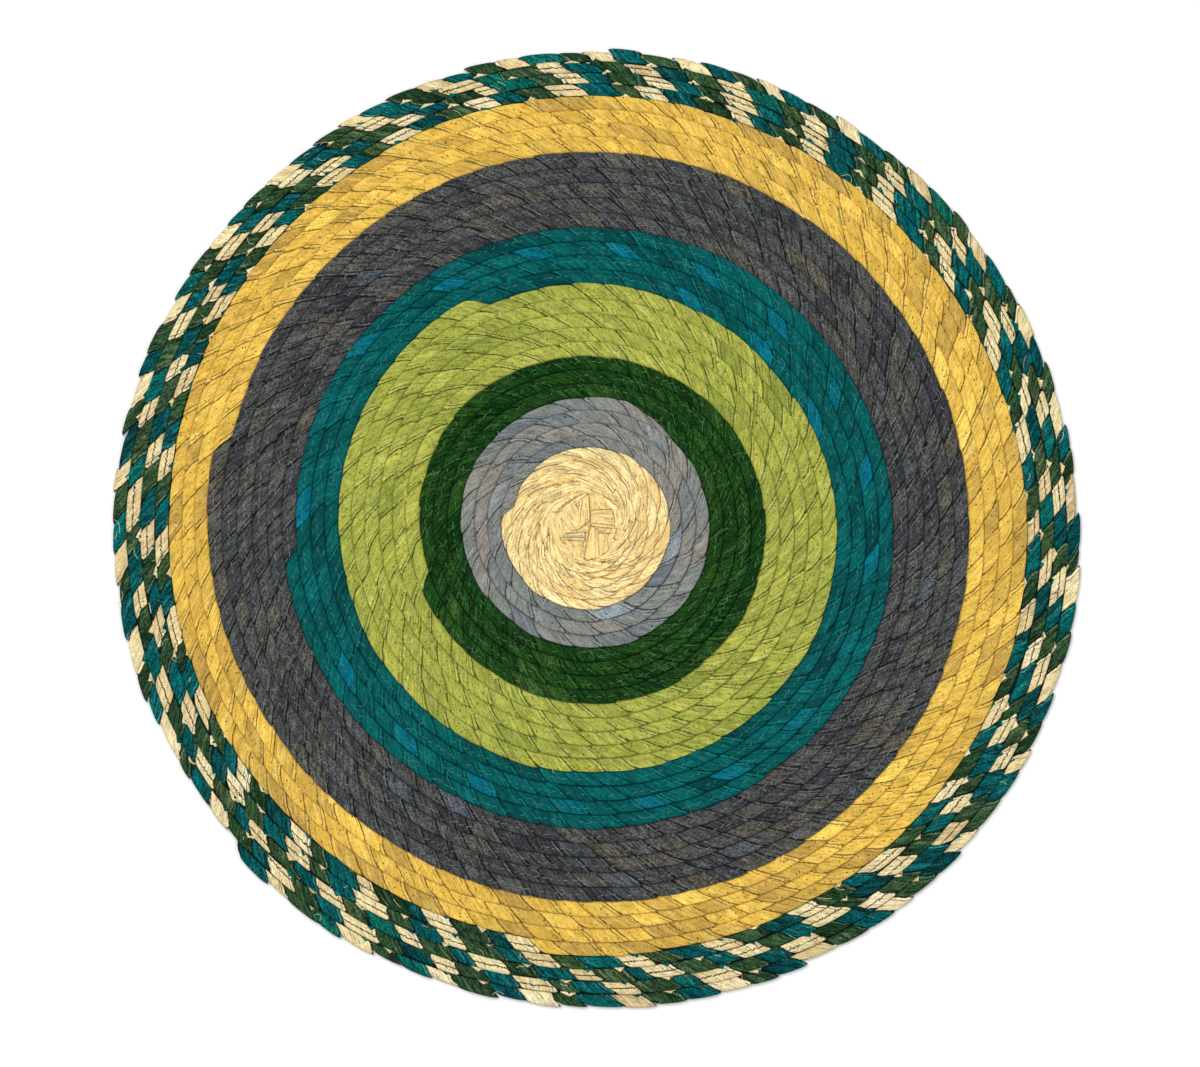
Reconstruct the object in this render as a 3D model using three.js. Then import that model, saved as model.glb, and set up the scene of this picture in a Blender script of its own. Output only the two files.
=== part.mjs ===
// A round placemat, coiled from the middle outwards and sewn flat. One long run of three-strand
// plait, made of palm leaf, is joined end to end from eight dyed lengths. Each turn laps over the
// turn outside it, so the top is a stair of low ramps that fall at every outer edge.
// Millimetres, +Z up. The origin is on the flat underside at the middle of the mat, and angles
// run clockwise from +Y as seen from above, which is the way that the coil is wound.

import * as THREE from 'three';

const stepAngle = 5;
const gap = 0.3;
const ridgeHeight = 3.0;
const valleyHeight = 2.1;
const crownHeight = 3.2;

// The folded knot in the middle, and the angle at which the first turn leaves it.
const knot = { reach: 15, right: -5.1, up: 1.2, skew: 0, oval: 0, cornerSide: 0, cornerUp: 0 };
const startAngle = 60;
const firstTurnSpread = 0.35;

// The loose end is tucked in under the last turn over this part of a turn.
const tuckTurns = 0.06;
const tuckDepth = 0.8;

// Turns closer than this are the same place.
const sameTurn = 1e-6;

// One row for each length of plait, from the middle outwards. reach is the mean radius of its
// outer edge where it ends, after the given number of turns. right and up are how far that turn
// has slipped off the middle, skew and oval how far it is from round, and the two corner columns
// how three-cornered it is.
const plaits = [
  {
    name: 'plait_cream', colour: '#f2d592', turns: 4.6,
    reach: 33.9, right: -4.6, up: 1.6, skew: 0, oval: -0.3, cornerSide: 0, cornerUp: -0.2,
  },
  {
    name: 'plait_light_grey', colour: '#878a94', turns: 3.29,
    reach: 51.3, right: -4.1, up: 1.4, skew: -0.4, oval: -0.5, cornerSide: 0.3, cornerUp: -0.2,
  },
  {
    name: 'plait_dark_green', colour: '#144b19', turns: 3.64,
    reach: 71.1, right: -4.2, up: 1.4, skew: -1.1, oval: -0.6, cornerSide: 0, cornerUp: -0.5,
  },
  {
    name: 'plait_lime', colour: '#a0b946', turns: 5.22,
    reach: 99.9, right: -3.6, up: 1.4, skew: -1.3, oval: -0.2, cornerSide: -0.2, cornerUp: 0.3,
  },
  {
    name: 'plait_teal', colour: '#007373', turns: 3.815,
    reach: 121.0, right: -3.3, up: 1.6, skew: -0.8, oval: -0.4, cornerSide: 0.1, cornerUp: 0.2,
  },
  {
    name: 'plait_charcoal', colour: '#4b4b4e', turns: 5.05,
    reach: 150.9, right: -2.6, up: 2.2, skew: -0.9, oval: -0.4, cornerSide: 0.4, cornerUp: 0.1,
  },
  {
    name: 'plait_yellow', colour: '#e4be50', turns: 3.74,
    reach: 170.8, right: -2.3, up: 1.7, skew: -0.6, oval: -0.5, cornerSide: -0.2, cornerUp: 0.9,
  },
  {
    name: 'plait_mixed', colour: '#2c5a4c', turns: 4.11,
    reach: 191.4, right: -2.2, up: 0, skew: -0.7, oval: -1.9, cornerSide: 0.7, cornerUp: 0.9,
  },
];

let woundTurns = 0;
for (const plait of plaits) {
  plait.startTurn = woundTurns;
  woundTurns += plait.turns;
  plait.endTurn = woundTurns;
}

function angleAt(turn) {
  return startAngle + 360 * turn;
}

function wrapAngle(angle) {
  return ((angle % 360) + 360) % 360;
}

// The shape of one turn: its radius in each direction, from the columns of the table.
function turnRadius(shape, angle) {
  const a = THREE.MathUtils.degToRad(angle);
  return shape.reach
    + shape.right * Math.sin(a) + shape.up * Math.cos(a)
    + shape.skew * Math.sin(2 * a) + shape.oval * Math.cos(2 * a)
    + shape.cornerSide * Math.sin(3 * a) + shape.cornerUp * Math.cos(3 * a);
}

// The radius of a row's outer edge after so many turns. Below zero it is the knot's rim.
function edgeRadius(turn) {
  const angle = angleAt(turn);
  if (turn <= 0) {
    return turnRadius(knot, angle);
  }
  const index = Math.max(plaits.findIndex((plait) => turn <= plait.endTurn + sameTurn), 0);
  const plait = plaits[index];
  const before = index === 0 ? knot : plaits[index - 1];
  let part = (turn - plait.startTurn) / plait.turns;
  if (turn < 1) {
    part *= Math.pow(turn, firstTurnSpread - 1);
  }
  const radius = THREE.MathUtils.lerp(turnRadius(before, angle), turnRadius(plait, angle), part);
  const tucked = THREE.MathUtils.smoothstep(turn, woundTurns - tuckTurns, woundTurns);
  return radius - tuckDepth * tucked;
}

// The angles of all cross-sections: even steps, where each joint takes the nearest one's place.
function sectionAngles() {
  const angles = [];
  for (let angle = 0; angle < 360; angle += stepAngle) {
    angles.push(angle);
  }
  const joints = [startAngle, ...plaits.map((plait) => wrapAngle(angleAt(plait.endTurn)))];
  for (const joint of joints) {
    const nearest = Math.round(joint / stepAngle) % angles.length;
    angles[nearest] = joint;
  }
  return angles;
}

// The turns at which a length of plait has a cross-section, from its start to its end.
function sectionTurns(plait) {
  const turns = [];
  for (let whole = Math.floor(plait.startTurn) - 1; whole <= plait.endTurn + 1; whole += 1) {
    for (const angle of allAngles) {
      const turn = whole + wrapAngle(angle - startAngle) / 360;
      if (turn > plait.startTurn + sameTurn && turn < plait.endTurn - sameTurn) {
        turns.push(turn);
      }
    }
  }
  turns.sort((a, b) => a - b);
  return [plait.startTurn, ...turns, plait.endTurn];
}

const allAngles = sectionAngles();

// Collects the points and upward faces of one length of plait, then closes them to the underside.
class PlaitSurface {
  constructor() {
    this.points = [];
    this.faces = [];
    this.known = new Map();
  }

  point(key, turn, radius, height, along = 0) {
    if (!this.known.has(key)) {
      const a = THREE.MathUtils.degToRad(angleAt(turn));
      const x = radius * Math.sin(a) + along * Math.cos(a);
      const y = radius * Math.cos(a) - along * Math.sin(a);
      this.known.set(key, this.points.length);
      this.points.push(new THREE.Vector3(x, y, height));
    }
    return this.known.get(key);
  }

  face(...corners) {
    const distinct = corners.filter((corner, i) => corner !== corners[(i + 1) % corners.length]);
    for (let i = 2; i < distinct.length; i += 1) {
      this.faces.push([distinct[0], distinct[i - 1], distinct[i]]);
    }
  }

  // The edges that belong to one face only, joined into closed loops.
  rims() {
    const after = new Map();
    const edges = new Set(this.faces.flatMap(([a, b, c]) => [`${a},${b}`, `${b},${c}`, `${c},${a}`]));
    for (const edge of edges) {
      const [from, to] = edge.split(',').map(Number);
      if (!edges.has(`${to},${from}`)) {
        after.set(from, to);
      }
    }
    const loops = [];
    while (after.size > 0) {
      const loop = [];
      let at = after.keys().next().value;
      while (after.has(at)) {
        loop.push(at);
        const next = after.get(at);
        after.delete(at);
        at = next;
      }
      loops.push(loop);
    }
    return loops;
  }

  // Walls from every rim down to the underside, and the flat underside itself.
  close() {
    const loops = this.rims();
    const outlines = [];
    const feet = [];
    for (const loop of loops) {
      const foot = loop.map((i) => {
        this.points.push(new THREE.Vector3(this.points[i].x, this.points[i].y, 0));
        return this.points.length - 1;
      });
      loop.forEach((top, i) => {
        const next = (i + 1) % loop.length;
        this.face(loop[next], top, foot[i], foot[next]);
      });
      outlines.push(foot.map((i) => new THREE.Vector2(this.points[i].x, this.points[i].y)));
      feet.push(foot);
    }
    const order = outlines.map((_, i) => i);
    order.sort((a, b) => widthOf(outlines[b]) - widthOf(outlines[a]));
    const [rim, ...holes] = order.map((i) => outlines[i]);
    const numbers = order.flatMap((i) => feet[i]);
    const flat = order.flatMap((i) => outlines[i]);
    for (const [a, b, c] of THREE.ShapeUtils.triangulateShape(rim, holes)) {
      const downward = THREE.ShapeUtils.area([flat[a], flat[b], flat[c]]) < 0;
      const corners = [numbers[a], numbers[b], numbers[c]];
      this.face(...(downward ? corners : corners.reverse()));
    }
  }

  geometry() {
    const geometry = new THREE.BufferGeometry();
    geometry.setFromPoints(this.points);
    geometry.setIndex(this.faces.flat());
    geometry.computeVertexNormals();
    return geometry;
  }
}

function widthOf(outline) {
  const box = new THREE.Box2().setFromPoints(outline);
  return box.max.x - box.min.x;
}

// One length of plait: a ramp up to each outer edge, and a short bank down to the next row.
function plaitGeometry(plait) {
  const surface = new PlaitSurface();
  const turns = sectionTurns(plait);
  const fromKnot = plait.startTurn === 0;

  // The half gap at a joint lies along the row, and at an edge it lies across it.
  const along = (turn) => {
    const atStart = turn === plait.startTurn && !fromKnot;
    const atEnd = turn === plait.endTurn;
    return (atStart ? gap / 2 : 0) - (atEnd ? gap / 2 : 0);
  };
  const startPoint = () => (
    surface.point('start', 0, edgeRadius(0) + gap / 2, valleyHeight)
  );
  const outer = (turn) => {
    if (fromKnot && turn === 0) {
      return startPoint();
    }
    return surface.point(`outer ${turn}`, turn, edgeRadius(turn) - gap / 2, ridgeHeight, along(turn));
  };
  const inner = (turn) => {
    if (fromKnot && (turn === 0 || turn === 1)) {
      return startPoint();
    }
    return surface.point(`inner ${turn}`, turn, edgeRadius(turn - 1) + gap / 2, valleyHeight, along(turn));
  };

  for (let i = 1; i < turns.length; i += 1) {
    const from = turns[i - 1];
    const to = turns[i];
    surface.face(inner(from), inner(to), outer(to), outer(from));
    if (to + 1 <= plait.endTurn + sameTurn) {
      const fromNext = nearestTurn(turns, from + 1);
      const toNext = nearestTurn(turns, to + 1);
      surface.face(outer(from), outer(to), inner(toNext), inner(fromNext));
    }
  }
  if (fromKnot) {
    addKnot(surface, turns, inner);
  }
  surface.close();
  return surface.geometry();
}

function nearestTurn(turns, wanted) {
  return turns.find((turn) => Math.abs(turn - wanted) < sameTurn);
}

// The crown of the knot, inside the first turn.
function addKnot(surface, turns, inner) {
  const sections = turns.filter((turn) => turn < 1 - sameTurn);
  const middle = surface.points.length;
  surface.points.push(new THREE.Vector3(knot.right, knot.up, crownHeight));
  const rim = (turn) => (
    surface.point(`knot ${turn}`, turn, edgeRadius(turn - 1) - gap / 2, ridgeHeight)
  );
  sections.forEach((turn, i) => {
    const next = sections[(i + 1) % sections.length];
    surface.face(rim(turn), rim(next), inner(next), inner(turn));
    surface.face(middle, rim(next), rim(turn));
  });
}

const placemat = new THREE.Group();
placemat.name = 'coiled_placemat';
for (const plait of plaits) {
  const material = new THREE.MeshStandardMaterial({
    color: plait.colour,
    roughness: 0.7,
    metalness: 0,
  });
  const mesh = new THREE.Mesh(plaitGeometry(plait), material);
  mesh.name = plait.name;
  placemat.add(mesh);
}

export default placemat;
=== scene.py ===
from functools import partial
from math import radians, tan, tau
import bpy
import numpy as np
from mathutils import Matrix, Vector


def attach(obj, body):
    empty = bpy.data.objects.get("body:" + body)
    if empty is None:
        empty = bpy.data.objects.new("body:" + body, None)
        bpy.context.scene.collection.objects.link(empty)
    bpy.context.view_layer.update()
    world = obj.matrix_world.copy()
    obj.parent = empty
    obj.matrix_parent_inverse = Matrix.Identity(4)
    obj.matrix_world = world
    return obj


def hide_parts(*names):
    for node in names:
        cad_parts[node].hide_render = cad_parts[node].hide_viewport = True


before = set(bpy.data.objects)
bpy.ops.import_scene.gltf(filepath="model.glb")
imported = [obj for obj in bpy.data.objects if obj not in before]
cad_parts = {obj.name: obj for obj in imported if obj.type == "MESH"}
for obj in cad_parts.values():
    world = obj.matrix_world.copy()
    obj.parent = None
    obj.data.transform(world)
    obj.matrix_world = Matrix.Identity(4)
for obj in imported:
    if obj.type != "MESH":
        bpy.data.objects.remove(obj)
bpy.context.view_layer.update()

# A round placemat of plaited palm leaf, coiled and sewn. Lengths in the tables are millimetres,
# and angles are degrees clockwise from +Y as seen from above, the way the coil is wound.

mm = 0.001


def smooth(low, high, x):
    part = np.clip((x - low) / (high - low), 0, 1)
    return part * part * (3 - 2 * part)


def linearColour(hexText):
    parts = [int(hexText[i:i + 2], 16) / 255 for i in (1, 3, 5)]
    return [p / 12.92 if p <= 0.04045 else ((p + 0.055) / 1.055) ** 2.4 for p in parts] + [1]


# Adds a node with its settings. Each input is a number, a colour, a socket to link, or a node whose
# first output is linked.
def addNode(tree, kind, inputs, **settings):
    node = tree.nodes.new(kind)
    for name, value in settings.items():
        setattr(node, name, value)
    for socket, value in inputs.items():
        if isinstance(value, bpy.types.Node):
            value = value.outputs[0]
        if isinstance(value, bpy.types.NodeSocket):
            tree.links.new(value, node.inputs[socket])
        else:
            node.inputs[socket].default_value = value
    return node


# A new material, its shader, and addNode for its own tree.
def startMaterial(name):
    material = bpy.data.materials.new(name)
    material.use_nodes = True
    tree = material.node_tree
    return material, tree.nodes["Principled BSDF"], tree.links.new, partial(addNode, tree)


# Stage: a white paper sweep and soft light from all round, as in a catalogue shot.
stage = {
    "view": (471.1, 418.9),      # what the photo takes in, at the mat's top
    "middle": (0, -1.77),
    "distance": 2600,            # from the mat's top to the camera
    "matTop": 3,
    "sensor": 36,
    "floorSize": 6000,
    "skyStrength": 0.44,
    "keyPower": 24,
    "keyPlace": (-550, 650, 1500),
    "fillPower": 6.3,
    "fillPlace": (800, -500, 1100),
    "lightSize": 1500,           # across each soft light
    "paper": "#f4f4f3",
    "paperTooth": 900,           # noise cells in a metre, so bumps of 1.1 mm
    "toothHeight": 0.1,
}


def makeStage():
    scene = bpy.context.scene
    scene.view_settings.view_transform = "Standard"
    scene.view_settings.look = "None"
    cameraData = bpy.data.cameras.new("camera")
    cameraData.sensor_width = stage["sensor"]
    cameraData.lens = stage["sensor"] * stage["distance"] / stage["view"][0]
    camera = bpy.data.objects.new("camera", cameraData)
    camera.location = [x * mm for x in (*stage["middle"], stage["distance"] + stage["matTop"])]
    scene.collection.objects.link(camera)
    scene.camera = camera

    world = bpy.data.worlds.new("soft_room")
    world.use_nodes = True
    background = world.node_tree.nodes["Background"]
    background.inputs["Color"].default_value = (1, 1, 1, 1)
    background.inputs["Strength"].default_value = stage["skyStrength"]
    scene.world = world

    for name in ("key", "fill"):
        lightData = bpy.data.lights.new(name + "_light", "AREA")
        lightData.shape = "DISK"
        lightData.size = stage["lightSize"] * mm
        lightData.energy = stage[name + "Power"]
        light = bpy.data.objects.new(name + "_light", lightData)
        light.location = Vector(stage[name + "Place"]) * mm
        light.rotation_euler = (-light.location).to_track_quat("-Z", "Y").to_euler()
        scene.collection.objects.link(light)

    half = stage["floorSize"] / 2 * mm
    floorMesh = bpy.data.meshes.new("paper_floor")
    corners = [(-half, -half, 0), (half, -half, 0), (half, half, 0), (-half, half, 0)]
    floorMesh.from_pydata(corners, [], [(0, 1, 2, 3)])
    floor = bpy.data.objects.new("paper_floor", floorMesh)
    scene.collection.objects.link(floor)
    # White cartridge paper, rolled: matt, with a faint tooth.
    paper, shader, link, add = startMaterial("rolledPaper")
    shader.inputs["Base Color"].default_value = linearColour(stage["paper"])
    shader.inputs["Roughness"].default_value = 0.9
    coords = add("ShaderNodeTexCoord", {})
    tooth = add("ShaderNodeTexNoise", {"Vector": coords.outputs["Object"], "Scale": stage["paperTooth"]})
    bump = add("ShaderNodeBump", {"Height": tooth, "Strength": 0.1,
                                  "Distance": stage["toothHeight"] * mm})
    link(bump.outputs[0], shader.inputs["Normal"])
    floorMesh.materials.append(paper)
    print("stage done")


makeStage()

coil = {
    "startAngle": 60,            # where the first turn leaves the knot
    "firstTurnSpread": 0.35,     # how early the first turn opens out from the knot
    "tuckTurns": 0.06,           # the loose end goes in under the last turn
    "tuckDepth": 0.8,
    "knotRim": (15, -5.1, 1.2, 0, 0, 0, 0),     # as the rims of the plaits
    "plaitWidth": 15.6,          # before it is lapped and sewn
    "layer": 1.0,                # thickness of a pressed plait
    "droop": 1.2,                # of the last turn, which has nothing under it
    "uneven": 0.1,               # how much each row's edge wanders
    "onFloor": 0.02,             # nothing goes lower
}

# From the middle outwards. rim is the mean radius of the outer edge where the length ends, how
# far it has slipped right and up, and how far from round it is. cell is the length of one strip
# crossing along the row, evenly from the start to the end. Tones run from the darkest strips to
# the lightest, and the numbers after them say how strongly each kind of mark shows. crease is the
# colour of all dark marks: real creases, veins, slits and specks, and painted shade too. rowShadow is
# the strength of the painted shade along a row's edges and fold, and ledge that of the paler ply
# inside a strip's edge, which is partly a painted highlight. gap is the width of the painted shadow
# line at a strip's far edge, where it meets the next strip. Some lengths run on before their start
# or after their end, and taper there, by degrees of the turn. darkest is the lowest tone that the
# strips take, and lastTurn shifts the tones of the last turn. leafAngle lies between a strip and the
# row, peeks is the share of strips with a corner of the other layer beside them, and fibres is how
# many lie loose. jitter, wiggle and puff say how uneven the strips are in length, along their edges,
# and in height and reach.
plaits = [
    {
        "name": "cream", "turns": 4.6, "rim": (33.9, -4.6, 1.6, 0, -0.3, 0, -0.2), "cell": (9.5, 11.5),
        "leafAngle": 27, "peeks": 0.1, "stitch": "dots", "fibres": 60, "darkest": 0.2,
        "tones": ["#beb386", "#edcc86", "#f3da98", "#f5de9d", "#f7e2a3", "#f9e6ab"],
        "creaseAndShade": "#75400a", "pale": "#f7e6b2", "thread": "#d9c48c", "ribs": 0.16, "grit": 0.07,
        "lines": 0.76, "slits": 0.9, "veins": 0.65, "rowShadow": 0.12, "holes": 0.3, "paleLedgeAndHighlight": 0.5,
        "specks": 0.6,
    },
    {
        "name": "light_grey", "turns": 3.29, "rim": (51.3, -4.1, 1.4, -0.4, -0.5, 0.3, -0.2),
        "cell": (12.5, 12.8), "after": 17.6, "taper": 26,
        "leafAngle": 38, "peeks": 0.15, "stitch": "dots", "fibres": 25,
        "tones": ["#687076", "#777c78", "#838580", "#8a8279", "#86939a"], "creaseAndShade": "#232527",
        "pale": "#979c98", "thread": "#a9a9a0", "ribs": 0.28, "grit": 0.21, "lines": 0.94, "slits": 0.6,
        "veins": 0.35, "rowShadow": 0.4, "holes": 0.45, "paleLedgeAndHighlight": 0.5, "specks": 0.6,
    },
    {
        "name": "dark_green", "turns": 3.64, "rim": (71.1, -4.2, 1.4, -1.1, -0.6, 0, -0.5),
        "cell": (12.5, 12.8), "before": 8.4,
        "leafAngle": 40, "peeks": 0.15, "stitch": "thread", "fibres": 60,
        "tones": ["#0a340e", "#153912", "#1b4112", "#2e4b1c"], "creaseAndShade": "#021a02",
        "pale": "#355e2c", "thread": "#547d4a", "ribs": 0.78, "grit": 0.6, "lines": 0.95, "slits": 0.9,
        "veins": 0.5, "rowShadow": 0.7, "paleLedgeAndHighlight": 0.6, "specks": 0.4,
    },
    {
        "name": "lime", "turns": 5.22, "rim": (99.9, -3.6, 1.4, -1.3, -0.2, -0.2, 0.3),
        "cell": (12.3, 12.3),
        "leafAngle": 39, "peeks": 0.2, "stitch": "dots", "fibres": 60,
        "tones": ["#89933d", "#9ba144", "#a5a949", "#b2b24e"], "creaseAndShade": "#363e10",
        "pale": "#c0c271", "thread": "#b9bf70", "ribs": 0.26, "grit": 0.2, "lines": 0.96, "slits": 0.7,
        "veins": 0.4, "rowShadow": 0.32, "holes": 0.5, "paleLedgeAndHighlight": 0.4, "specks": 0.8,
    },
    {
        "name": "teal", "turns": 3.815, "rim": (121.0, -3.3, 1.6, -0.8, -0.4, 0.1, 0.2),
        "cell": (11.4, 11.5),
        "leafAngle": 40, "peeks": 0.15, "stitch": "thread", "fibres": 60,
        "tones": ["#00403f", "#004f4d", "#015959", "#00687e"], "creaseAndShade": "#02262a",
        "bluer": [(60, 150), (1270, 1950)],      # from the joint, in millimetres
        "pale": "#0b7571", "thread": "#3c8a80", "ribs": 0.46, "grit": 0.3, "lines": 0.95, "slits": 0.6,
        "veins": 0.25, "rowShadow": 0.7, "paleLedgeAndHighlight": 0.6, "specks": 0.6,
    },
    {
        "name": "charcoal", "turns": 5.05, "rim": (150.9, -2.6, 2.2, -0.9, -0.4, 0.4, 0.1),
        "cell": (12.1, 12.3),
        "leafAngle": 41, "peeks": 0.15, "stitch": "thread", "fibres": 90,
        "tones": ["#35373a", "#404244", "#484949", "#534f46", "#4b525a"], "creaseAndShade": "#08090a",
        "pale": "#5c605f", "thread": "#85857e", "ribs": 0.68, "grit": 0.6, "lines": 0.97, "slits": 0.9,
        "veins": 0.45, "rowShadow": 0.5, "paleLedgeAndHighlight": 0.6, "specks": 0.6, "gap": 0.6,
    },
    {
        "name": "yellow", "turns": 3.74, "rim": (170.8, -2.3, 1.7, -0.6, -0.5, -0.2, 0.9),
        "cell": (11.9, 11.9),
        "leafAngle": 39, "peeks": 0.15, "stitch": "dots", "fibres": 30,
        "tones": ["#bc9849", "#dbb24b", "#e7be54", "#f4cf5e"], "creaseAndShade": "#5e4116", "lastTurn": -0.22,
        "pale": "#f1d67c", "thread": "#e0c070", "ribs": 0.17, "grit": 0.12, "lines": 0.94, "slits": 0.6,
        "veins": 0.45, "rowShadow": 0.25, "holes": 0.55, "paleLedgeAndHighlight": 0.35, "specks": 1.0,
    },
    {
        "name": "mixed", "turns": 4.11, "rim": (191.4, -2.2, 0, -0.7, -1.9, 0.7, 0.9),
        "cell": (10.8, 11.0, 12.3, 11.6, 11.1, 11.2, 12.4, 11.9, 12.1, 11.2, 11.9, 12.8),
        "leafAngle": 40, "peeks": 0.75, "stitch": "wave", "fibres": 70, "thread": "#d8c9a0",
        "jitter": 0.11, "wiggle": 0.3, "puff": 1.9,
    },
]

# The border's three strands, in the order that they come clockwise.
borderStrands = [
    {
        "name": "borderCream", "stitch": "wave",
        "tones": ["#ccb483", "#dfca94", "#e5d4a1", "#ebdab0"], "creaseAndShade": "#1f170e", "pale": "#f3ecca",
        "ribs": 0.2, "grit": 0.11, "lines": 1.0, "slits": 0.8, "veins": 0.35, "rowShadow": 1.0,
        "paleLedgeAndHighlight": 0.5, "specks": 0.5, "gap": 0.6,
    },
    {
        "name": "borderTeal", "stitch": "none",
        "tones": ["#003b3c", "#004c4f", "#015957", "#095b49"], "creaseAndShade": "#01181c", "pale": "#2b8482",
        "ribs": 0.85, "grit": 0.65, "lines": 0.97, "slits": 0.8, "veins": 0.6, "rowShadow": 1.0,
        "paleLedgeAndHighlight": 0.6, "specks": 0.5, "gap": 0.55,
    },
    {
        "name": "borderGreen", "stitch": "none",
        "tones": ["#19371e", "#254127", "#2e4c2e", "#364a2b"], "creaseAndShade": "#050d05", "pale": "#667c5c",
        "ribs": 0.85, "grit": 0.65, "lines": 0.97, "slits": 0.9, "veins": 0.65, "rowShadow": 1.0,
        "paleLedgeAndHighlight": 0.6, "specks": 0.4, "gap": 0.55,
    },
]

wound = 0
for plait in plaits:
    plait["start"] = wound
    wound += plait["turns"]
    plait["end"] = wound


def angleAt(turn):
    return np.radians(coil["startAngle"] + 360 * np.asarray(turn, float))


def rimRadius(rim, a):
    reach, right, up, skew, oval, cornerSide, cornerUp = rim
    return (reach + right * np.sin(a) + up * np.cos(a) + skew * np.sin(2 * a) + oval * np.cos(2 * a)
            + cornerSide * np.sin(3 * a) + cornerUp * np.cos(3 * a))


# The radius of a row's outer edge after so many turns. Below zero it is the knot's rim.
def edgeRadius(turn):
    turn = np.asarray(turn, float)
    a = angleAt(turn)
    radius = rimRadius(coil["knotRim"], a)
    before = coil["knotRim"]
    for plait in plaits:
        part = (turn - plait["start"]) / plait["turns"]
        if plait["start"] == 0:
            early = np.clip(turn, 1e-6, 1) ** (coil["firstTurnSpread"] - 1)
            part = part * np.where(turn < 1, early, 1)
        blend = rimRadius(before, a) * (1 - part) + rimRadius(plait["rim"], a) * part
        radius = np.where(turn > plait["start"], blend, radius)
        before = plait["rim"]
    # No row is quite even: the plait widens and narrows a little as it is worked.
    uneven = coil["uneven"] * np.clip(turn, 0, 1) * (np.sin(55.3 * turn) + np.sin(87.1 * turn + 2))
    return radius + uneven - coil["tuckDepth"] * smooth(wound - coil["tuckTurns"], wound, turn)


tableTurns = np.linspace(0, wound + 0.1, 16000)
tableMiddle = (edgeRadius(tableTurns) + edgeRadius(tableTurns - 1)) / 2
tableLength = np.concatenate([[0], np.cumsum((tableMiddle[1:] + tableMiddle[:-1]) / 2
                                             * np.diff(tableTurns) * tau)])


def lengthAt(turn):
    return np.interp(turn, tableTurns, tableLength)


def turnAt(along):
    return np.interp(along, tableLength, tableTurns)


# 1 on the last turn, which is the mat's rim and has no seam of its own.
def onRim(along):
    return smooth(wound - 1.03, wound - 0.97, turnAt(along))


# From a place along the row and across it (0 at its visible inner edge, 1 at its outer fold) to
# millimetres. lift is measured from the middle of the plait's thickness.
def placeOnCoil(along, across, lift, outward=0):
    turn = turnAt(along)
    inner = edgeRadius(turn - 1)
    width = edgeRadius(turn) - inner
    radius = inner + across * width + outward
    a = angleAt(turn)
    drop = coil["droop"] * onRim(along) * smooth(-0.2, 1.1, across)
    height = np.maximum((1.5 + across) * coil["layer"] + lift - drop, coil["onFloor"])
    return np.stack([radius * np.sin(a), radius * np.cos(a), height], axis=-1)


def rowWidth(along):
    return edgeRadius(turnAt(along)) - edgeRadius(turnAt(along) - 1)


# How fine the leaf's marks are. The first seven are noise fields, each with its cells in a
# millimetre, its detail and its roughness. Four of them are stretched along the strip: they have
# cells along it and across it, and a shift from strip to strip.
leafPattern = {
    "ribs": ((0.12, 1.3, 7.3), 3, 0.75),     # 0.8 mm apart, 8 mm long: real ones are finer
    "bands": ((0.06, 0.5, 3.1), 2, 0.5),     # paler, 2 mm wide
    "veins": ((0.04, 0.6, 2.9), 3, 0.6),     # long lines, 1.7 mm apart
    "slits": ((0.28, 3.4, 5.7), 1, 0.5),     # split ribs, 3.5 mm long
    "grit": (1.5, 2, 0.7),       # grains of 0.7 mm
    "blotches": (0.17, 3, 0.5),  # of dye, 6 mm across
    "wander": (0.9, 2, 0.5),     # the edge lines wobble every 1.1 mm
    "specks": 0.42,              # a place for one every 2.4 mm
    "plyAt": 1.1,                # millimetres in from the strip's edge
    "needleStep": 3.7,           # between needle holes
    "waveStep": 2.6,             # of the machine's groove
    "seamAt": 1.5,               # on each side of that groove
    "relief": 0.3,               # how far the dark lines sink in and the ribs stand up
}
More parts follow.
